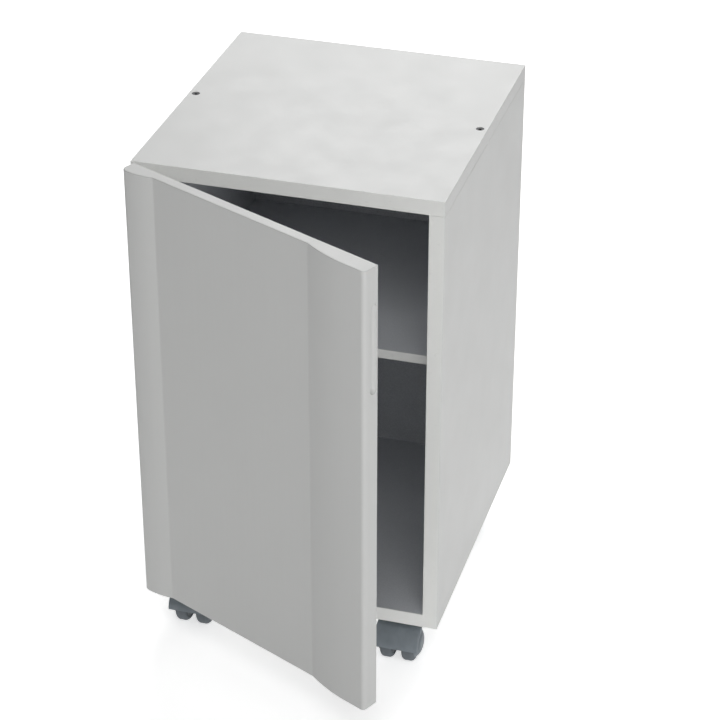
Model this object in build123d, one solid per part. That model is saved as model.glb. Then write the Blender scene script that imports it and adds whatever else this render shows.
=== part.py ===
from build123d import *
import math
import os

# Mobile printer stand: a low cabinet on four twin-wheel castors.
# Millimetres. X runs across the front, the door faces -Y and +Z is up.
# The origin is the centre of the top panel's upper face.

# Carcass
WIDTH = 380
DEPTH = 400
HEIGHT = 600
BOARD = 19
EDGE_BAND = 1
EDGE_ROUND = 0.8
BACK_THICKNESS = 5
BACK_SETBACK = 12
GROOVE_DEPTH = 7
GROOVE_END_GAP = 0.5

# Shelf
SHELF_THICKNESS = 12
SHELF_TOP = 368
SHELF_SETBACK = 45
SHELF_SIDE_GAP = 0.5
SHELF_BACK_GAP = 2
SHELF_PIN_Y = 130
PEG_RADIUS = 2.5
PEG_DEPTH = 8

# Panel joints
DOWEL_RADIUS = 4
DOWEL_LENGTH = 30
DOWEL_Y = 130
SCREW_SHANK_RADIUS = 3.5
SCREW_HEAD_RADIUS = 5
SCREW_HEAD_HEIGHT = 4
SCREW_HEAD_RECESS = 0.6
SCREW_LENGTH = 50
HEX_SOCKET_RADIUS = 2.3
HEX_SOCKET_DEPTH = 3
PAN_HEAD_HEIGHT = 1.8
PAN_HEAD_ROUND = 0.7
CROSS_SLOT = 0.9
CROSS_DEPTH = 1

# Door
DOOR_GAP = 2
DOOR_REVEAL = 1
DOOR_THICKNESS = 14
DOOR_EDGE_ROUND = 1
CREASE_ROUND = 5
LEFT_CREST_HEIGHT = 8
LEFT_CREST_AT = 10
LEFT_CREASE_AT = 46
RIGHT_CREASE_AT = 288
RIGHT_CREST_AT = 352
RIGHT_CREST_HEIGHT = 9.5
NOSE_RADIUS = 5
GRIP_RADIUS = 6
GRIP_DEPTH = 4
GRIP_FROM_BACK = 7.5
GRIP_TOP = 52
GRIP_LENGTH = 104
DOOR_ANGLE = 25
BUMPER_RADIUS = 4
BUMPER_HEIGHT = 1.7

# Concealed hinges: one link turns on the arm and carries the cup
HINGE_HEIGHTS = (-90, -510)
ARM_PIVOT = (44, 2)
CUP_PIVOT = (14, -5.5)
LINK_RATIO = -0.25
HINGE_PIN_RADIUS = 1.5
LINK_BORE_CLEARANCE = 0.05
LINK_HEIGHT = 14
LINK_WEB = 2
CUP_CENTRE = 22.5
CUP_RADIUS = 17.5
CUP_WALL = 1
CUP_DEPTH = 11.5
FLANGE_THICKNESS = 0.8
RIM_NOTCH = 1.2
CUP_SCREW_X = 32
CUP_SCREW_SPACING = 45
PLATE_SCREW_Y = 37
PLATE_SCREW_SPACING = 32
ARM_HEIGHT = 19
ARM_SCREW_Y = 60
ARM_SEAT = 9
ARM_SPOT_FACE = 4

# Castors
CASTOR_HEIGHT = 65
CASTOR_X = 138
CASTOR_Y = 155
WHEEL_RADIUS = 25
RIM_RADIUS = 19.5
TYRE_SHOULDER = 5
HUB_FLAT = 5
DOME = 7
CAP_GROOVE_RADIUS = 13
TRAIL = 25
CASTOR_HALF_WIDTH = 29
AXLE_RADIUS = 3
AXLE_HALF_LENGTH = 24
RUNNING_CLEARANCE = 0.05
KINGPIN_RADIUS = 4
HOOD_GAP = 2
HOOD_WALL = 2.5
HOOD_FRONT_RISE = 8
HOOD_BACK_RISE = 25
HOOD_WEB = 7
HUB_RADIUS = 6.5
PIN_RECESS_RADIUS = 7
CASTOR_PLATE = 44
CASTOR_PLATE_THICKNESS = 2.5
CASTOR_SCREW_PITCH = 32

FRONT = -DEPTH / 2
BACK = DEPTH / 2
LEFT = -WIDTH / 2
RIGHT = WIDTH / 2
BOTTOM = -HEIGHT
SIDE_TOP = -BOARD
SIDE_BOTTOM = BOTTOM + BOARD
INNER_WIDTH = WIDTH - 2 * BOARD
JOINT_X = RIGHT - BOARD / 2

parts = {}


def block(x0, x1, y0, y1, z0, z1):
    """Box between two corners."""
    size = (x1 - x0, y1 - y0, z1 - z0)
    centre = ((x0 + x1) / 2, (y0 + y1) / 2, (z0 + z1) / 2)
    return Pos(*centre) * Box(*size)


def rod(radius, start, end):
    """Round bar between two points."""
    axis = Vector(*end) - Vector(*start)
    plane = Plane(origin=start, z_dir=axis.normalized())
    return extrude(plane * Circle(radius), axis.length)


def add(name, *shapes):
    """Store one node made of one or more separate solids."""
    solids = [solid for shape in shapes for solid in shape.solids()]
    parts[name] = solids[0] if len(solids) == 1 else Compound(solids)


# ---------------------------------------------------------------- fasteners

def panel_screw(x, y, head_z, into):
    """Connector screw with a socket head, driven along Z from head_z."""
    head_end = head_z + into * SCREW_HEAD_HEIGHT
    tip = head_z + into * SCREW_LENGTH
    screw = rod(SCREW_HEAD_RADIUS, (x, y, head_z), (x, y, head_end))
    screw += rod(SCREW_SHANK_RADIUS, (x, y, head_end), (x, y, tip))
    socket_plane = Plane(origin=(x, y, head_z), z_dir=(0, 0, into))
    socket = extrude(socket_plane * RegularPolygon(HEX_SOCKET_RADIUS, 6), HEX_SOCKET_DEPTH)
    return screw - socket


def panel_screw_hole(x, y, face_z, into):
    """Counterbored hole for a connector screw, from the panel's outer face."""
    head_end = face_z + into * (SCREW_HEAD_RECESS + SCREW_HEAD_HEIGHT)
    tip = face_z + into * (SCREW_HEAD_RECESS + SCREW_LENGTH)
    hole = rod(SCREW_HEAD_RADIUS, (x, y, face_z), (x, y, head_end))
    return hole + rod(SCREW_SHANK_RADIUS, (x, y, head_end), (x, y, tip))


def small_screw(head_at, direction, head_radius, shank_radius, length):
    """Pan-head screw with a cross recess: the head stands proud of head_at and the shank goes in."""
    head = extrude(Circle(head_radius), PAN_HEAD_HEIGHT)
    head = fillet(head.edges().sort_by(Axis.Z)[-1], PAN_HEAD_ROUND)
    for turn in (0, 90):
        slot = Box(head_radius, CROSS_SLOT, 2 * CROSS_DEPTH)
        head -= Pos(0, 0, PAN_HEAD_HEIGHT) * Rot(0, 0, turn) * slot
    screw = head + extrude(Circle(shank_radius), -length)
    outward = Vector(*direction) * -1
    return Plane(origin=head_at, z_dir=outward) * screw


JOINT_ENDS = [(0, -1), (BOTTOM, 1)]
SCREW_HOLES = [
    panel_screw_hole(side * JOINT_X, 0, face, into)
    for side in (-1, 1)
    for face, into in JOINT_ENDS
]
DOWEL_MIDDLES = [
    (side * JOINT_X, y, z)
    for side in (-1, 1)
    for y in (-DOWEL_Y, DOWEL_Y)
    for z in (SIDE_TOP, SIDE_BOTTOM)
]
DOWELS = [
    rod(DOWEL_RADIUS, (x, y, z - DOWEL_LENGTH / 2), (x, y, z + DOWEL_LENGTH / 2))
    for x, y, z in DOWEL_MIDDLES
]


# ------------------------------------------------------------------ carcass

def back_groove():
    """Space taken by the back panel and the small gap at its edges."""
    reach = INNER_WIDTH / 2 + GROOVE_DEPTH
    y1 = BACK - BACK_SETBACK
    return block(-reach, reach, y1 - BACK_THICKNESS, y1,
                 SIDE_BOTTOM - GROOVE_DEPTH, SIDE_TOP + GROOVE_DEPTH)


def banded_panel(z0, z1):
    """Horizontal outer panel: the board's core and its four edge bands."""
    whole = block(LEFT, RIGHT, FRONT, BACK, z0, z1)
    whole = fillet(whole.edges(), EDGE_ROUND)
    core = block(LEFT + EDGE_BAND, RIGHT - EDGE_BAND, FRONT + EDGE_BAND, BACK - EDGE_BAND, z0, z1)
    between = block(LEFT, RIGHT, FRONT + EDGE_BAND, BACK - EDGE_BAND, z0, z1)
    front_and_back_bands = whole - between
    end_bands = (whole & between) - core
    return core, [front_and_back_bands, end_bands]


def drilled(panel):
    """Cut the connector screws, dowels and back groove out of a panel."""
    for cutter in SCREW_HOLES + DOWELS + [back_groove()]:
        panel -= cutter
    return panel


def side_panel(side):
    """Upright side board and its front and back edge bands."""
    x0, x1 = sorted((side * RIGHT, side * (RIGHT - BOARD)))
    core = block(x0, x1, FRONT + EDGE_BAND, BACK - EDGE_BAND, SIDE_BOTTOM, SIDE_TOP)
    whole = block(x0, x1, FRONT, BACK, SIDE_BOTTOM, SIDE_TOP)
    bands = fillet(whole.edges().filter_by(Axis.Z), EDGE_ROUND) - core
    core = drilled(core)
    for y in (-SHELF_PIN_Y, SHELF_PIN_Y):
        core -= shelf_peg(side, y)
    return core, bands


# -------------------------------------------------------------------- shelf

SHELF_UPPER = BOTTOM + SHELF_TOP
SHELF_LOWER = SHELF_UPPER - SHELF_THICKNESS
PEG_Z = SHELF_LOWER - 6


def shelf_peg(side, y):
    """Round peg of a shelf support, in the side board."""
    inner = side * INNER_WIDTH / 2
    return rod(PEG_RADIUS, (inner - side * 3, y, PEG_Z), (inner + side * PEG_DEPTH, y, PEG_Z))


def shelf_pin(side, y):
    """Shelf support: a peg, a small upright plate and the ledge that the shelf lies on."""
    inner = side * INNER_WIDTH / 2
    x0, x1 = sorted((inner, inner - side * 2))
    plate = block(x0, x1, y - 6, y + 6, PEG_Z - 6, SHELF_LOWER)
    x0, x1 = sorted((inner, inner - side * 12))
    ledge = block(x0, x1, y - 6, y + 6, SHELF_LOWER - 2, SHELF_LOWER)
    return shelf_peg(side, y) + plate + ledge


def shelf():
    """Shelf board and its front edge band."""
    reach = INNER_WIDTH / 2 - SHELF_SIDE_GAP
    front = FRONT + SHELF_SETBACK
    back = BACK - BACK_SETBACK - BACK_THICKNESS - SHELF_BACK_GAP
    board = block(-reach, reach, front + EDGE_BAND, back, SHELF_LOWER, SHELF_UPPER)
    band = block(-reach, reach, front, front + EDGE_BAND, SHELF_LOWER, SHELF_UPPER)
    front_edges = band.edges().filter_by(Axis.X).group_by(Axis.Y)[0]
    band = fillet(front_edges, EDGE_ROUND)
    return board, band


def make_carcass():
    """Boards, bands, shelf and the fasteners that hold them."""
    top_core, top_bands = banded_panel(-BOARD, 0)
    bottom_core, bottom_bands = banded_panel(BOTTOM, BOTTOM + BOARD)
    bottom_core = drilled(bottom_core)
    for x, y in CASTOR_PLACES:
        for screw_x, screw_y in castor_screw_places(x, y):
            bottom_core -= castor_screw(screw_x, screw_y)
    add("top_panel", drilled(top_core))
    add("top_edge_bands", *top_bands)
    add("bottom_panel", bottom_core)
    add("bottom_edge_bands", *bottom_bands)
    for name, side in (("left", -1), ("right", 1)):
        core, bands = side_panel(side)
        if side < 0:
            for z in HINGE_HEIGHTS:
                for screw in plate_screws(z):
                    core -= screw
        add(f"{name}_side_panel", core)
        add(f"{name}_side_edge_bands", bands)
    groove = back_groove()
    trim = GROOVE_END_GAP
    box = groove.bounding_box()
    add("back_panel", block(box.min.X + trim, box.max.X - trim, box.min.Y, box.max.Y,
                            box.min.Z + trim, box.max.Z - trim))
    board, band = shelf()
    add("shelf", board)
    add("shelf_edge_band", band)
    pins = [shelf_pin(side, y) for side in (-1, 1) for y in (-SHELF_PIN_Y, SHELF_PIN_Y)]
    add("shelf_pins", *pins)
    for name, (face, into) in zip(("top", "bottom"), JOINT_ENDS):
        head = face + into * SCREW_HEAD_RECESS
        screws = [panel_screw(side * JOINT_X, 0, head, into) for side in (-1, 1)]
        add(f"{name}_connector_screws", *screws)
    add("dowels", *DOWELS)


# --------------------------------------------------------------------- door
# The door and its hinges are drawn closed, in plan, from the carcass's front
# left corner: u to the right and w towards the back. Then they swing open.

def closed(u, w, z):
    """Point of the closed door in the stand's frame."""
    return (LEFT + u, FRONT + w, z)


TOTAL_TO_DOOR = 1 / (1 + LINK_RATIO)
DOOR_TURN = DOOR_ANGLE * TOTAL_TO_DOOR
LINK_TURN = DOOR_TURN * LINK_RATIO


def turn_about(pivot, degrees):
    """Opening turn about an upright pivot of the hinge."""
    centre = Vector(*closed(*pivot, 0))
    return Pos(centre) * Rot(0, 0, -degrees) * Pos(-centre)


LINK_SWING = turn_about(ARM_PIVOT, LINK_TURN)
DOOR_SWING = LINK_SWING * turn_about(CUP_PIVOT, DOOR_TURN)


def door_outline():
    """Plan outline: a thin middle between a raised left rail and a raised grip rail."""
    back = -DOOR_GAP
    middle = back - DOOR_THICKNESS
    left_crest = middle - LEFT_CREST_HEIGHT
    right_crest = middle - RIGHT_CREST_HEIGHT
    end = WIDTH - DOOR_REVEAL
    heel = (DOOR_REVEAL, back)
    left_shoulder = (DOOR_REVEAL, left_crest + LEFT_CREST_AT - DOOR_REVEAL)
    left_top = (LEFT_CREST_AT, left_crest)
    left_crease = (LEFT_CREASE_AT, middle)
    right_crease = (RIGHT_CREASE_AT, middle)
    right_top = (RIGHT_CREST_AT, right_crest)
    nose = (end - NOSE_RADIUS, right_crest)
    nose_end = (end, right_crest + NOSE_RADIUS)
    outline = [
        Line(heel, left_shoulder),
        TangentArc(left_shoulder, left_top, tangent=(0, -1)),
        TangentArc(left_top, left_crease, tangent=(1, 0)),
        Line(left_crease, right_crease),
        TangentArc(right_top, right_crease, tangent=(-1, 0)),
        Line(right_top, nose),
        TangentArc(nose, nose_end, tangent=(1, 0)),
        Line(nose_end, (end, back)),
        Line((end, back), heel),
    ]
    face = make_face(Curve() + outline)
    creases = [corner for corner in face.vertices()
               if corner.X in (LEFT_CREASE_AT, RIGHT_CREASE_AT)]
    face = fillet(creases, CREASE_ROUND)
    heels = [corner for corner in face.vertices() if corner.Y == back]
    return fillet(heels, DOOR_EDGE_ROUND)


def finger_grip():
    """Space of the groove with round ends that is milled in the free edge, for the fingers."""
    u = WIDTH - DOOR_REVEAL - GRIP_DEPTH + GRIP_RADIUS
    w = -DOOR_GAP - GRIP_FROM_BACK
    ends = [closed(u, w, z) for z in (-GRIP_TOP, -GRIP_TOP - GRIP_LENGTH)]
    groove = rod(GRIP_RADIUS, *ends)
    for end in ends:
        groove += Pos(*end) * Sphere(GRIP_RADIUS)
    return groove


def door_panel():
    """Door with its finger grip, hinge cup bores and screw holes, closed."""
    z0 = BOTTOM + DOOR_REVEAL
    panel = extrude(Pos(LEFT, FRONT, z0) * door_outline(), HEIGHT - 2 * DOOR_REVEAL)
    ends = panel.faces().sort_by(Axis.Z)
    panel = fillet(ends[0].edges() + ends[-1].edges(), DOOR_EDGE_ROUND)
    panel -= finger_grip()
    for z in HINGE_HEIGHTS:
        panel -= rod(CUP_RADIUS, closed(CUP_CENTRE, -DOOR_GAP, z),
                     closed(CUP_CENTRE, -DOOR_GAP - CUP_DEPTH, z))
        for screw in cup_screws(z):
            panel -= screw
    return panel


def cup_pin(z):
    """Pin across the hinge cup that the link turns on."""
    offset = CUP_CENTRE - CUP_PIVOT[0] + HINGE_PIN_RADIUS
    reach = math.sqrt(CUP_RADIUS ** 2 - offset ** 2)
    return rod(HINGE_PIN_RADIUS, closed(*CUP_PIVOT, z - reach), closed(*CUP_PIVOT, z + reach))


def hinge_cup(z):
    """Pressed cup in the door, with a flange on the door's back face and a notch for the link."""
    face = -DOOR_GAP
    centre = closed(CUP_CENTRE, face, z)
    cup = rod(CUP_RADIUS, centre, closed(CUP_CENTRE, face - CUP_DEPTH, z))
    flange = rod(CUP_RADIUS + 1.5, centre, closed(CUP_CENTRE, face + FLANGE_THICKNESS, z))
    wing_u = (CUP_SCREW_X - 7, CUP_SCREW_X + 7)
    wing_z = CUP_SCREW_SPACING / 2 + 6
    wing = block(LEFT + wing_u[0], LEFT + wing_u[1], FRONT + face,
                 FRONT + face + FLANGE_THICKNESS, z - wing_z, z + wing_z)
    hollow = rod(CUP_RADIUS - CUP_WALL, closed(CUP_CENTRE, face - CUP_DEPTH + CUP_WALL, z),
                 closed(CUP_CENTRE, face + FLANGE_THICKNESS, z))
    notch_u = (CUP_CENTRE - CUP_RADIUS - 2, CUP_CENTRE - CUP_RADIUS + 4)
    notch_z = LINK_HEIGHT / 2 + 1
    notch = block(LEFT + notch_u[0], LEFT + notch_u[1], FRONT + face - RIM_NOTCH,
                  FRONT + face + FLANGE_THICKNESS, z - notch_z, z + notch_z)
    cup = cup + flange + wing - hollow - notch - cup_pin(z)
    for screw in cup_screws(z):
        cup -= screw
    return cup


def cup_screws(z):
    """Two screws through the cup's flange into the door."""
    offset = CUP_SCREW_SPACING / 2
    head_w = FLANGE_THICKNESS - DOOR_GAP
    places = [closed(CUP_SCREW_X, head_w, z + step) for step in (-offset, offset)]
    return [small_screw(place, (0, -1, 0), 3, 1.75, 11) for place in places]


def hinge_link(z):
    """Link between the arm's pin and the cup's pin, with a boss at each end."""
    half = LINK_HEIGHT / 2
    bosses = [(ARM_PIVOT, 3.5), (CUP_PIVOT, 3)]
    start = Vector(*ARM_PIVOT)
    along = Vector(*CUP_PIVOT) - start
    middle = start + along * 0.5
    angle = math.degrees(math.atan2(along.Y, along.X))
    web = Pos(*closed(middle.X, middle.Y, z)) * Rot(0, 0, angle)
    link = web * Box(along.length, LINK_WEB, LINK_HEIGHT)
    for pivot, radius in bosses:
        link += rod(radius, closed(*pivot, z - half), closed(*pivot, z + half))
    for pivot, radius in bosses:
        bore = HINGE_PIN_RADIUS + LINK_BORE_CLEARANCE
        link -= rod(bore, closed(*pivot, z - half), closed(*pivot, z + half))
    return link


def arm_pin(z):
    """Pin in the arm's two cheeks that the link turns on."""
    half = ARM_HEIGHT / 2
    return rod(HINGE_PIN_RADIUS, closed(*ARM_PIVOT, z - half), closed(*ARM_PIVOT, z + half))


def hinge_arm(z):
    """Arm from the mounting plate forward to the two cheeks at the link's pin."""
    pivot_u, pivot_w = ARM_PIVOT
    base = BOARD + 5
    outline = Polyline((base, 72), (base + 9, 72), (base + 13, 30), (pivot_u + 4, pivot_w + 9),
                       (pivot_u + 4, pivot_w), (pivot_u - 4, pivot_w), (pivot_u - 6, pivot_w + 9),
                       (base, 30), close=True)
    face = make_face(outline) + Pos(pivot_u, pivot_w) * Circle(4)
    arm = extrude(Pos(LEFT, FRONT, z - ARM_HEIGHT / 2) * face, ARM_HEIGHT)
    room = LINK_HEIGHT / 2 + 0.3
    arm -= rod(4.6, closed(*ARM_PIVOT, z - room), closed(*ARM_PIVOT, z + room))
    seat = closed(base + ARM_SEAT, ARM_SCREW_Y, z)
    arm -= rod(ARM_SPOT_FACE, seat, closed(base + ARM_SEAT + 5, ARM_SCREW_Y, z))
    return arm - arm_pin(z) - arm_screw(z)


def arm_screw(z):
    """Screw that clamps the arm to its mounting plate."""
    seat = closed(BOARD + 5 + ARM_SEAT, ARM_SCREW_Y, z)
    return small_screw(seat, (-1, 0, 0), 3.5, 2, 11)


def hinge_plate(z):
    """Cross-shaped mounting plate on the side board."""
    bar = block(LEFT + BOARD, LEFT + BOARD + 5, FRONT + 28, FRONT + 74, z - 9, z + 9)
    wing_z = PLATE_SCREW_SPACING / 2 + 7
    wing = block(LEFT + BOARD, LEFT + BOARD + 3, FRONT + PLATE_SCREW_Y - 7,
                 FRONT + PLATE_SCREW_Y + 7, z - wing_z, z + wing_z)
    plate = bar + wing - arm_screw(z)
    for screw in plate_screws(z):
        plate -= screw
    return plate


def plate_screws(z):
    """Two screws through the mounting plate into the side board."""
    offset = PLATE_SCREW_SPACING / 2
    places = [closed(BOARD + 3, PLATE_SCREW_Y, z + step) for step in (-offset, offset)]
    return [small_screw(place, (-1, 0, 0), 3.2, 1.75, 15) for place in places]


def door_bumper(z):
    """Soft dot on the door's back face that meets the side board's edge."""
    u = WIDTH - BOARD / 2
    return rod(BUMPER_RADIUS, closed(u, -DOOR_GAP, z), closed(u, BUMPER_HEIGHT - DOOR_GAP, z))


def make_door():
    """Door, its hinges and bumpers, swung open to the rest angle."""
    heights = HINGE_HEIGHTS
    add("door_panel", DOOR_SWING * door_panel())
    add("hinge_cups", *[DOOR_SWING * hinge_cup(z) for z in heights])
    add("hinge_cup_pins", *[DOOR_SWING * cup_pin(z) for z in heights])
    add("hinge_cup_screws", *[DOOR_SWING * screw for z in heights for screw in cup_screws(z)])
    add("door_bumpers", *[DOOR_SWING * door_bumper(z) for z in (-40, BOTTOM + 40)])
    add("hinge_links", *[LINK_SWING * hinge_link(z) for z in heights])
    add("hinge_arms", *[hinge_arm(z) for z in heights])
    add("hinge_arm_pins", *[arm_pin(z) for z in heights])
    add("hinge_arm_screws", *[arm_screw(z) for z in heights])
    add("hinge_plates", *[hinge_plate(z) for z in heights])
    add("hinge_plate_screws", *[screw for z in heights for screw in plate_screws(z)])


# ------------------------------------------------------------------ castors
# Each castor is drawn about its swivel axis, with z = 0 at the bottom panel's
# underside, and its wheels trail towards the front.

CASTOR_NAMES = ("front_left", "front_right", "rear_left", "rear_right")
CASTOR_PLACES = [(x, y) for y in (-CASTOR_Y, CASTOR_Y) for x in (-CASTOR_X, CASTOR_X)]
AXLE_Y = -TRAIL
AXLE_Z = WHEEL_RADIUS - CASTOR_HEIGHT
RACE_DEPTH = 5.5
HOOD_TOP = -5.8
HOOD_SEAT = -14


def castor_screw_places(x, y):
    """Centres of one castor's four screws."""
    half = CASTOR_SCREW_PITCH / 2
    return [(x + dx, y + dy) for dx in (-half, half) for dy in (-half, half)]


def castor_screw(x, y):
    """Screw up through a castor plate into the bottom panel."""
    head = (x, y, BOTTOM - CASTOR_PLATE_THICKNESS)
    return small_screw(head, (0, 0, 1), 3.8, 1.95, 17)


def castor_plate():
    """Square top plate with the swivel race pressed into it."""
    outline = RectangleRounded(CASTOR_PLATE, CASTOR_PLATE, 6)
    plate = extrude(Pos(0, 0, -CASTOR_PLATE_THICKNESS) * outline, CASTOR_PLATE_THICKNESS)
    plate += rod(14, (0, 0, -CASTOR_PLATE_THICKNESS), (0, 0, -RACE_DEPTH))
    plate -= rod(KINGPIN_RADIUS, (0, 0, 0), (0, 0, -RACE_DEPTH))
    for x, y in castor_screw_places(0, 0):
        plate -= rod(2.2, (x, y, 0), (x, y, -CASTOR_PLATE_THICKNESS))
    return plate


def kingpin():
    """Swivel rivet, fixed in the plate, with its head below the hood's seat."""
    shank = rod(KINGPIN_RADIUS, (0, 0, 0), (0, 0, HOOD_SEAT - 0.3))
    return shank + rod(6, (0, 0, HOOD_SEAT - 0.3), (0, 0, HOOD_SEAT - 2.3))


def about_axle(radius, half_length):
    """Cylinder about the wheels' axle, centred between the wheels."""
    return rod(radius, (-half_length, AXLE_Y, AXLE_Z), (half_length, AXLE_Y, AXLE_Z))


def hood():
    """Castor body: swivel boss, centre web with the axle's hub and the shell over both wheels."""
    inner = WHEEL_RADIUS + HOOD_GAP
    outer = inner + HOOD_WALL
    shell = about_axle(outer, CASTOR_HALF_WIDTH)
    shell = fillet(shell.edges().filter_by(GeomType.CIRCLE), 2)
    shell -= about_axle(inner, CASTOR_HALF_WIDTH)
    above = Pos(0, 0, outer) * Box(4 * outer, 4 * outer, 2 * outer)
    over = Pos(0, AXLE_Y, AXLE_Z) * (Rot(-HOOD_FRONT_RISE, 0, 0) * above & Rot(HOOD_BACK_RISE, 0, 0) * above)
    shell &= over
    web = about_axle(inner + 1, HOOD_WEB / 2) & over
    web &= block(-HOOD_WEB / 2, HOOD_WEB / 2, AXLE_Y - outer, -PIN_RECESS_RADIUS + 1,
                 AXLE_Z - outer, AXLE_Z + outer)
    web += about_axle(HUB_RADIUS, HOOD_WEB / 2)
    boss = rod(13.5, (0, 0, HOOD_TOP), (0, 0, HOOD_SEAT - 6))
    body = shell + web + (boss - about_axle(inner, CASTOR_HALF_WIDTH))
    body -= rod(KINGPIN_RADIUS + RUNNING_CLEARANCE, (0, 0, HOOD_TOP), (0, 0, HOOD_SEAT))
    body -= rod(PIN_RECESS_RADIUS, (0, 0, HOOD_SEAT), (0, 0, HOOD_SEAT - 30))
    return body - axle()


def axle():
    """Axle through the centre web."""
    return about_axle(AXLE_RADIUS, AXLE_HALF_LENGTH)


def spun(profile, side):
    """Turn a profile of (distance along the axle, radius) points about the axle."""
    face = make_face(profile)
    solid = revolve(Plane.XY * face, Axis.X)
    if side < 0:
        solid = mirror(solid, Plane.YZ)
    return Pos(0, AXLE_Y, AXLE_Z) * solid


def wheel(side):
    """Wheel centre with a domed outer face, a groove round its cap and a blind bore."""
    bore = AXLE_RADIUS + RUNNING_CLEARANCE
    inner = HOOD_WEB / 2 + 1
    depth = AXLE_HALF_LENGTH + 0.3
    rim_face = CASTOR_HALF_WIDTH - DOME
    profile = Curve() + [
        Line((inner, bore), (inner, 8)),
        Line((inner, 8), (inner + 2.5, 8)),
        Line((inner + 2.5, 8), (inner + 2.5, RIM_RADIUS)),
        Line((inner + 2.5, RIM_RADIUS), (rim_face, RIM_RADIUS)),
        TangentArc((CASTOR_HALF_WIDTH, HUB_FLAT), (rim_face, RIM_RADIUS), tangent=(0, 1)),
        Line((CASTOR_HALF_WIDTH, HUB_FLAT), (CASTOR_HALF_WIDTH, 0)),
        Line((CASTOR_HALF_WIDTH, 0), (depth, 0)),
        Line((depth, 0), (depth, bore)),
        Line((depth, bore), (inner, bore)),
    ]
    outside = side * CASTOR_HALF_WIDTH
    groove_floor = (outside - side * 2, AXLE_Y, AXLE_Z)
    groove = rod(CAP_GROOVE_RADIUS, groove_floor, (outside, AXLE_Y, AXLE_Z))
    groove -= rod(CAP_GROOVE_RADIUS - 1, groove_floor, (outside, AXLE_Y, AXLE_Z))
    return spun(profile, side) - groove


def tyre(side):
    """Soft tread around a wheel, with rounded shoulders."""
    inner = HOOD_WEB / 2 + 2.5
    outer = CASTOR_HALF_WIDTH - DOME
    low = WHEEL_RADIUS - TYRE_SHOULDER
    inner_flat = (inner + TYRE_SHOULDER, WHEEL_RADIUS)
    outer_flat = (outer - TYRE_SHOULDER, WHEEL_RADIUS)
    profile = Curve() + [
        Line((inner, RIM_RADIUS), (inner, low)),
        TangentArc((inner, low), inner_flat, tangent=(0, 1)),
        Line(inner_flat, outer_flat),
        TangentArc(outer_flat, (outer, low), tangent=(1, 0)),
        Line((outer, low), (outer, RIM_RADIUS)),
        Line((outer, RIM_RADIUS), (inner, RIM_RADIUS)),
    ]
    return spun(profile, side)


def make_castors():
    """Four castors and the screws that hold them."""
    for name, (x, y) in zip(CASTOR_NAMES, CASTOR_PLACES):
        place = Pos(x, y, BOTTOM)
        add(f"{name}_castor_plate", place * castor_plate())
        add(f"{name}_kingpin", place * kingpin())
        add(f"{name}_hood", place * hood())
        add(f"{name}_axle", place * axle())
        for side_name, side in (("outer", 1), ("inner", -1)):
            turned = side if x > 0 else -side
            add(f"{name}_{side_name}_wheel", place * wheel(turned))
            add(f"{name}_{side_name}_tyre", place * tyre(turned))
    screws = [castor_screw(*spot) for x, y in CASTOR_PLACES for spot in castor_screw_places(x, y)]
    add("castor_screws", *screws)


make_carcass()
make_door()
make_castors()

os.makedirs("parts", exist_ok=True)
for name, shape in parts.items():
    export_step(shape, f"parts/{name}.step")
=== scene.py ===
import math

import bpy
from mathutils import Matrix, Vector


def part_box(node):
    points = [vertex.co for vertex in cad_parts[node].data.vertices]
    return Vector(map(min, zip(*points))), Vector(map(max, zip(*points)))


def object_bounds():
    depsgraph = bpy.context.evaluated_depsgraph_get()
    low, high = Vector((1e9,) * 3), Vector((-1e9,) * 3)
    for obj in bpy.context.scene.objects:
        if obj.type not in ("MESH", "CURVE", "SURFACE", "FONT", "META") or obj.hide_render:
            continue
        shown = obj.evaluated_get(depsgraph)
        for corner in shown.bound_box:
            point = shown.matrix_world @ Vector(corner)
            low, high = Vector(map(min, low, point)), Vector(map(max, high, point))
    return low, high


# Mobile printer stand: materials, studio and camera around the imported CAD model.
# Metres. X runs across the front, the door faces -Y and +Z is up.

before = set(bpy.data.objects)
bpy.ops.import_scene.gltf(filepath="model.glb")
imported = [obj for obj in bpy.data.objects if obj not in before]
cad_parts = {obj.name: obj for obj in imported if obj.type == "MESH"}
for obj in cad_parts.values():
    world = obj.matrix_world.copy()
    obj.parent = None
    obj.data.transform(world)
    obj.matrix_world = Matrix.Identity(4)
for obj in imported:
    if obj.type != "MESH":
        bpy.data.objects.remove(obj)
cad_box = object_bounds()

# ------------------------------------------------------------------ view

LENS_MM = 120.8
SENSOR_MM = 36
VIEW_AZIMUTH = math.radians(16.44)
VIEW_ELEVATION = math.radians(30.68)
VIEW_DISTANCE = 3.116
VIEW_TARGET = Vector((0.0281, 0.0083, -0.3521))

# ---------------------------------------------------------------- lights
# (name, azimuth, elevation, distance, width, height, watts, colour)

LIGHTS = [
    ("overhead", 0, 88, 2.4, 2.6, 2.6, 2, (1.0, 1.0, 1.0)),
    ("key", 58, 14, 3.0, 1.4, 1.4, 15, (1.0, 1.0, 1.0)),
    ("front_low", 8, 14, 3.0, 1.6, 1.6, 4, (1.0, 1.0, 1.0)),
    ("front_high", 20, 45, 3.0, 1.6, 1.6, 29, (1.0, 1.0, 1.0)),
    ("behind", 183, 45, 2.8, 2.0, 2.0, 57, (1.0, 1.0, 1.0)),
]
FLOOR_GLOW = 0.34  # light that the floor gives the stand
FLOOR_BRIGHTNESS = 0.6  # glow that the camera sees
WORLD_LIGHT = 0.03
BACKDROP_BRIGHTNESS = 0.95
FLOOR_SIZE = 16.0
FLOOR_DROP = 0.0002

# ------------------------------------------------------------- material tools


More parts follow.
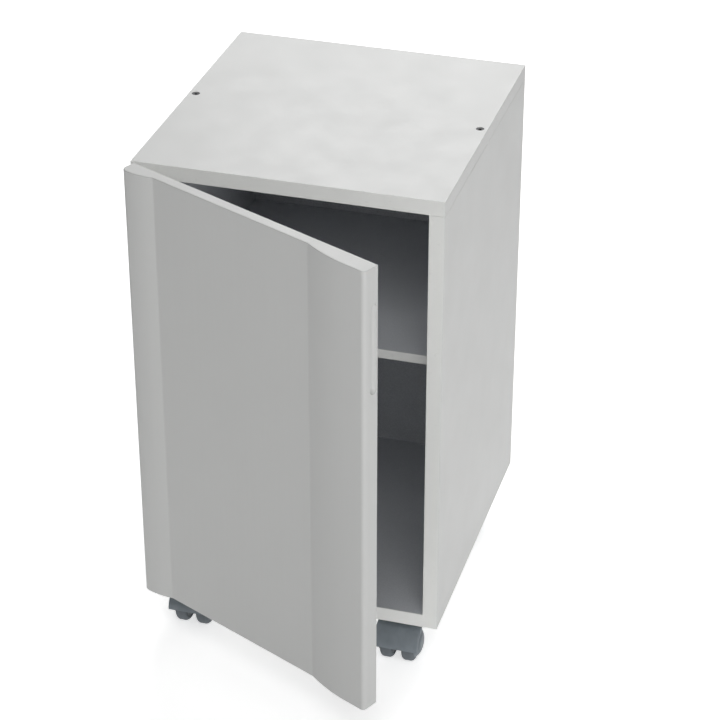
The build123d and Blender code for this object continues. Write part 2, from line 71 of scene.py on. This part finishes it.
class Shader:
    """One Principled material and short ways to add texture nodes to it."""

    def __init__(self, name, colour, roughness, **sockets):
        self.material = bpy.data.materials.new(name)
        self.material.use_nodes = True
        self.nodes = self.material.node_tree.nodes
        self.links = self.material.node_tree.links
        self.surface = self.nodes["Principled BSDF"]
        self.surface.inputs["Base Color"].default_value = (*colour, 1)
        self.surface.inputs["Roughness"].default_value = roughness
        for socket, value in sockets.items():
            self.surface.inputs[socket.replace("_", " ")].default_value = value
        self.place = self.nodes.new("ShaderNodeTexCoord").outputs["Object"]

    def link(self, source, target):
        self.links.new(source, target)

    def math(self, operation, first, second=0.0, clamp=False):
        """Result of one sum on sockets or numbers."""
        node = self.nodes.new("ShaderNodeMath")
        node.operation = operation
        node.use_clamp = clamp
        for socket, value in zip(node.inputs, (first, second)):
            if isinstance(value, (int, float)):
                socket.default_value = value
            else:
                self.link(value, socket)
        return node.outputs[0]

    def axes(self):
        """X, Y and Z of the point in the row frame."""
        node = self.nodes.new("ShaderNodeSeparateXYZ")
        self.link(self.place, node.inputs[0])
        return node.outputs

    def noise(self, size, stretch=(1, 1, 1), detail=3.0, roughness=0.55):
        """Noise whose features are about size metres, drawn out along the axes by stretch."""
        mapping = self.nodes.new("ShaderNodeMapping")
        self.link(self.place, mapping.inputs["Vector"])
        mapping.inputs["Scale"].default_value = [1 / (size * s) for s in stretch]
        node = self.nodes.new("ShaderNodeTexNoise")
        self.link(mapping.outputs[0], node.inputs["Vector"])
        node.inputs["Scale"].default_value = 1
        node.inputs["Detail"].default_value = detail
        node.inputs["Roughness"].default_value = roughness
        return node.outputs["Fac"]

    def remap(self, value, low, high, to_low, to_high):
        """Value from low to high becomes to_low to to_high, held at the ends."""
        node = self.nodes.new("ShaderNodeMapRange")
        self.link(value, node.inputs["Value"])
        ends = {"From Min": low, "From Max": high, "To Min": to_low, "To Max": to_high}
        for name, number in ends.items():
            node.inputs[name].default_value = number
        return node.outputs["Result"]

    def mix(self, share, first, second, blend="MIX"):
        """Colour between first and second, each a colour or a socket."""
        node = self.nodes.new("ShaderNodeMix")
        node.data_type = "RGBA"
        node.blend_type = blend
        sockets = {s.identifier: s for s in node.inputs}
        factor = sockets["Factor_Float"]
        if isinstance(share, (int, float)):
            factor.default_value = share
        else:
            self.link(share, factor)
        for key, value in (("A_Color", first), ("B_Color", second)):
            if isinstance(value, tuple):
                sockets[key].default_value = (*value, 1)
            else:
                self.link(value, sockets[key])
        return {s.identifier: s for s in node.outputs}["Result_Color"]

    def colour(self, socket):
        self.link(socket, self.surface.inputs["Base Color"])

    def roughness(self, socket):
        self.link(socket, self.surface.inputs["Roughness"])

    def bump(self, height, depth, strength=1.0):
        """Relief of depth metres, over any relief that is there already."""
        node = self.nodes.new("ShaderNodeBump")
        node.inputs["Strength"].default_value = strength
        node.inputs["Distance"].default_value = depth
        self.link(height, node.inputs["Height"])
        normal = self.surface.inputs["Normal"]
        if normal.links:
            self.link(normal.links[0].from_socket, node.inputs["Normal"])
        self.link(node.outputs["Normal"], normal)


def scaled(colour, factor):
    return tuple(channel * factor for channel in colour)


# ----------------------------------------------------------------- materials

BOARD_GREY = (0.68, 0.685, 0.675)
BAND_GREY = (0.83, 0.835, 0.815)
DOOR_GREY = (0.635, 0.64, 0.63)
BAND_THICKNESS = 0.0012
# Painted shade: the inside faces are the same melamine, coloured this darker, bluer grey to stand for the
# shade in the cabinet.
INSIDE_SHADE_GREY = (0.54, 0.555, 0.58)
HARDBOARD = (0.60, 0.60, 0.585)
CASTOR_GREY = (0.205, 0.235, 0.26)
TREAD_GREY = (0.14, 0.158, 0.175)


def cavity():
    """Lowest and highest corner of the space between the boards, a hair larger."""
    hair = 0.0002
    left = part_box("left_side_panel")[1].x
    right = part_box("right_side_panel")[0].x
    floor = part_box("bottom_panel")[1].z
    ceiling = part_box("top_panel")[0].z
    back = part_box("back_panel")[0].y
    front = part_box("left_side_panel")[0].y
    margin = Vector((hair, hair, hair))
    return Vector((left, front, floor)) - margin, Vector((right, back, ceiling)) + margin


def inside_shade_mask(shader):
    """One on the faces that look into the cabinet, where the painted shade goes, and zero on the outside.
    """
    low, high = cavity()
    share = None
    for axis, lowest, highest in zip(shader.axes(), low, high):
        above = shader.math("GREATER_THAN", axis, lowest)
        below = shader.math("LESS_THAN", axis, highest)
        both = shader.math("MULTIPLY", above, below)
        share = both if share is None else shader.math("MULTIPLY", share, both)
    return share


def board_material(name, outside, grain_size=0.0009):
    """Melamine-faced board: printed speckle, orange-peel relief, and painted shade: a darker grey on the
    faces inside the cabinet.
    """
    shader = Shader(name, outside, 0.42)
    cloud = shader.remap(shader.noise(0.16, detail=4), 0.3, 0.7, 0, 1)
    speckle = shader.remap(shader.noise(grain_size, detail=2), 0.35, 0.65, 0, 1)
    base = shader.mix(cloud, scaled(outside, 0.985), scaled(outside, 1.012))
    base = shader.mix(shader.math("MULTIPLY", speckle, 0.35), base, scaled(outside, 0.95))
    # Painted shade: the faces inside the cabinet get the darker grey instead of the outside colour.
    inner = shader.mix(speckle, INSIDE_SHADE_GREY, scaled(INSIDE_SHADE_GREY, 1.15))
    shader.colour(shader.mix(inside_shade_mask(shader), base, inner))
    smudge = shader.noise(0.05, detail=5)
    shader.roughness(shader.remap(smudge, 0.3, 0.75, 0.38, 0.5))
    shader.bump(shader.noise(0.0012, detail=2), 0.00003)
    return shader.material


def band_material():
    """Plastic edge band: fine lines along the strip, and the board's own grey on the two ends."""
    shader = Shader("edge_band", BAND_GREY, 0.36)
    lines = shader.noise(0.0006, stretch=(30, 30, 30), detail=2)
    nicks = shader.remap(shader.noise(0.009, detail=6), 0.62, 0.78, 0, 1)
    base = shader.mix(lines, scaled(BAND_GREY, 0.98), scaled(BAND_GREY, 1.015))
    base = shader.mix(nicks, base, scaled(BAND_GREY, 0.93))
    end = (cad_box[1].x - cad_box[0].x) / 2 - BAND_THICKNESS
    at_end = shader.math("GREATER_THAN", shader.math("ABSOLUTE", shader.axes()["X"]), end)
    shader.colour(shader.mix(at_end, base, shader.mix(lines, scaled(BOARD_GREY, 0.98), BOARD_GREY)))
    shader.roughness(shader.remap(nicks, 0, 1, 0.44, 0.58))
    shader.bump(lines, 0.00002)
    return shader.material


def door_material():
    """Foil-wrapped door: a fine upright grain with soft lighter and darker streaks."""
    shader = Shader("door_foil", DOOR_GREY, 0.44)
    streak = shader.noise(0.004, stretch=(1, 1, 60), detail=3)
    grain = shader.noise(0.0007, stretch=(1, 1, 25), detail=2)
    cloud = shader.remap(shader.noise(0.2, detail=3), 0.3, 0.7, 0, 1)
    base = shader.mix(streak, scaled(DOOR_GREY, 0.985), scaled(DOOR_GREY, 1.015))
    base = shader.mix(shader.math("MULTIPLY", cloud, 0.5), base, scaled(DOOR_GREY, 0.98))
    shader.colour(shader.mix(shader.math("MULTIPLY", grain, 0.3), base, scaled(DOOR_GREY, 0.95)))
    shader.roughness(shader.remap(shader.noise(0.06, detail=5), 0.3, 0.75, 0.4, 0.52))
    shader.bump(grain, 0.00003)
    return shader.material


def metal_material(name, colour, roughness, stretch):
    """Plated steel: brushed one way, with a few dull patches."""
    shader = Shader(name, colour, roughness, Metallic=1.0)
    brush = shader.noise(0.0004, stretch=stretch, detail=2)
    patch = shader.remap(shader.noise(0.006, detail=4), 0.4, 0.7, 0, 1)
    shader.colour(shader.mix(patch, colour, scaled(colour, 0.86)))
    rough = shader.math("ADD", shader.math("MULTIPLY", brush, 0.12), shader.math("MULTIPLY", patch, 0.1))
    shader.roughness(shader.math("ADD", rough, roughness - 0.06))
    shader.bump(brush, 0.00001)
    return shader.material


def dark_screw_material():
    """Blackened steel, rubbed grey in places."""
    colour = (0.035, 0.036, 0.038)
    shader = Shader("dark_screw", colour, 0.4, Metallic=0.6)
    rubbed = shader.remap(shader.noise(0.002, detail=5), 0.55, 0.75, 0, 1)
    shader.colour(shader.mix(rubbed, colour, (0.14, 0.14, 0.145)))
    shader.roughness(shader.remap(rubbed, 0, 1, 0.46, 0.3))
    shader.bump(shader.noise(0.0008), 0.00002)
    return shader.material


def dowel_material():
    """Beech with an upright grain."""
    light = (0.56, 0.37, 0.19)
    shader = Shader("dowel_wood", light, 0.6)
    grain = shader.remap(shader.noise(0.0008, stretch=(1, 1, 14), detail=4), 0.35, 0.65, 0, 1)
    shader.colour(shader.mix(grain, light, scaled(light, 0.7)))
    shader.bump(grain, 0.00005)
    return shader.material


def bumper_material():
    """Clear grey soft plastic with a little bloom."""
    colour = (0.6, 0.61, 0.6)
    shader = Shader("bumper", colour, 0.3, Transmission_Weight=0.35)
    bloom = shader.noise(0.002, detail=3)
    shader.colour(shader.mix(bloom, colour, scaled(colour, 0.88)))
    shader.roughness(shader.remap(bloom, 0.3, 0.7, 0.25, 0.42))
    shader.bump(bloom, 0.00002)
    return shader.material


def castor_plastic_material():
    """Moulded nylon: spark-eroded texture, faint flow marks and dust in the low places."""
    shader = Shader("castor_plastic", CASTOR_GREY, 0.42)
    texture = shader.noise(0.0005, detail=2)
    flow = shader.remap(shader.noise(0.012, stretch=(1, 1, 2), detail=4), 0.35, 0.7, 0, 1)
    base = shader.mix(flow, scaled(CASTOR_GREY, 0.93), scaled(CASTOR_GREY, 1.1))
    dust = shader.remap(shader.noise(0.004, detail=6), 0.55, 0.8, 0, 0.3)
    shader.colour(shader.mix(dust, base, (0.2, 0.21, 0.215)))
    shader.roughness(shader.remap(flow, 0, 1, 0.38, 0.5))
    shader.bump(texture, 0.00004)
    return shader.material


def tread_material():
    """Soft tread: dusty, slightly scuffed where it rolls."""
    shader = Shader("castor_tread", TREAD_GREY, 0.7)
    scuff = shader.remap(shader.noise(0.003, stretch=(3, 1, 1), detail=6), 0.45, 0.75, 0, 1)
    shader.colour(shader.mix(scuff, TREAD_GREY, scaled(TREAD_GREY, 1.25)))
    shader.roughness(shader.remap(scuff, 0, 1, 0.62, 0.85))
    shader.bump(shader.noise(0.0007, detail=3), 0.00006)
    return shader.material


def material_for():
    """Each CAD node's material."""
    board = board_material("melamine_board", BOARD_GREY)
    band = band_material()
    nickel = metal_material("nickel_steel", (0.62, 0.61, 0.59), 0.28, (1, 1, 12))
    zinc = metal_material("zinc_screw", (0.6, 0.61, 0.62), 0.32, (1, 1, 1))
    steel = metal_material("castor_steel", (0.5, 0.51, 0.52), 0.36, (12, 1, 1))
    dark = dark_screw_material()
    plastic = castor_plastic_material()
    tread = tread_material()
    chosen = {
        "top_panel": board,
        "bottom_panel": board,
        "left_side_panel": board,
        "right_side_panel": board,
        "shelf": board,
        "back_panel": board_material("back_board", HARDBOARD, grain_size=0.0018),
        "top_edge_bands": band,
        "bottom_edge_bands": band,
        "left_side_edge_bands": band,
        "right_side_edge_bands": band,
        "shelf_edge_band": band,
        "shelf_pins": nickel,
        "top_connector_screws": dark,
        "bottom_connector_screws": dark,
        "dowels": dowel_material(),
        "door_panel": door_material(),
        "door_bumpers": bumper_material(),
        "hinge_arms": nickel,
        "hinge_links": nickel,
        "hinge_cups": nickel,
        "hinge_plates": nickel,
        "hinge_arm_pins": zinc,
        "hinge_cup_pins": zinc,
        "hinge_arm_screws": zinc,
        "hinge_cup_screws": zinc,
        "hinge_plate_screws": zinc,
        "castor_screws": zinc,
    }
    for place in ("front_left", "front_right", "rear_left", "rear_right"):
        chosen[f"{place}_castor_plate"] = steel
        chosen[f"{place}_kingpin"] = zinc
        chosen[f"{place}_axle"] = zinc
        chosen[f"{place}_hood"] = plastic
        for side in ("outer", "inner"):
            chosen[f"{place}_{side}_wheel"] = plastic
            chosen[f"{place}_{side}_tyre"] = tread
    return chosen


def dress():
    """Give every CAD node its material."""
    for node, material in material_for().items():
        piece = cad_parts[node]
        piece.data.materials.clear()
        piece.data.materials.append(material)


# -------------------------------------------------------------------- studio

def make_floor():
    """Pale floor under the castors."""
    bpy.ops.mesh.primitive_plane_add(size=FLOOR_SIZE, location=(0, 0, cad_box[0].z - FLOOR_DROP))
    floor = bpy.context.object
    floor.name = "studio_floor"
    shader = Shader("studio_floor", (0.93, 0.93, 0.93), 0.7)
    cloud = shader.noise(0.5, detail=2)
    shader.roughness(shader.remap(cloud, 0.3, 0.7, 0.66, 0.74))
    shader.surface.inputs["Emission Color"].default_value = (1, 1, 1, 1)
    rays = shader.nodes.new("ShaderNodeLightPath").outputs["Is Camera Ray"]
    glow = shader.remap(rays, 0, 1, FLOOR_GLOW, FLOOR_BRIGHTNESS)
    shader.link(glow, shader.surface.inputs["Emission Strength"])
    floor.data.materials.append(shader.material)


def aimed(azimuth, elevation, distance, target):
    """Place and turn of something that looks at target."""
    back = Vector((
        math.sin(azimuth) * math.cos(elevation),
        -math.cos(azimuth) * math.cos(elevation),
        math.sin(elevation),
    ))
    return target + back * distance, (-back).to_track_quat("-Z", "Y").to_euler()


def make_lights():
    middle = (cad_box[0] + cad_box[1]) / 2
    for name, azimuth, elevation, distance, width, height, watts, colour in LIGHTS:
        lamp = bpy.data.lights.new(name, "AREA")
        lamp.shape = "RECTANGLE"
        lamp.size = width
        lamp.size_y = height
        lamp.energy = watts
        lamp.color = colour
        light = bpy.data.objects.new(name, lamp)
        place, turn = aimed(math.radians(azimuth), math.radians(elevation), distance, middle)
        light.location = place
        light.rotation_euler = turn
        bpy.context.scene.collection.objects.link(light)


def make_world():
    world = bpy.data.worlds.new("studio")
    world.use_nodes = True
    nodes = world.node_tree.nodes
    background = nodes["Background"]
    background.inputs["Color"].default_value = (1, 1, 1, 1)
    seen = nodes.new("ShaderNodeMapRange")
    seen.inputs["To Min"].default_value = WORLD_LIGHT
    seen.inputs["To Max"].default_value = BACKDROP_BRIGHTNESS
    rays = nodes.new("ShaderNodeLightPath")
    world.node_tree.links.new(rays.outputs["Is Camera Ray"], seen.inputs["Value"])
    world.node_tree.links.new(seen.outputs["Result"], background.inputs["Strength"])
    bpy.context.scene.world = world


def make_camera():
    lens = bpy.data.cameras.new("camera")
    lens.lens = LENS_MM
    lens.sensor_width = SENSOR_MM
    camera = bpy.data.objects.new("camera", lens)
    place, turn = aimed(VIEW_AZIMUTH, VIEW_ELEVATION, VIEW_DISTANCE, VIEW_TARGET)
    camera.location = place
    camera.rotation_euler = turn
    bpy.context.scene.collection.objects.link(camera)
    bpy.context.scene.camera = camera


dress()
make_floor()
make_lights()
make_world()
make_camera()
bpy.context.scene.view_settings.view_transform = "Standard"
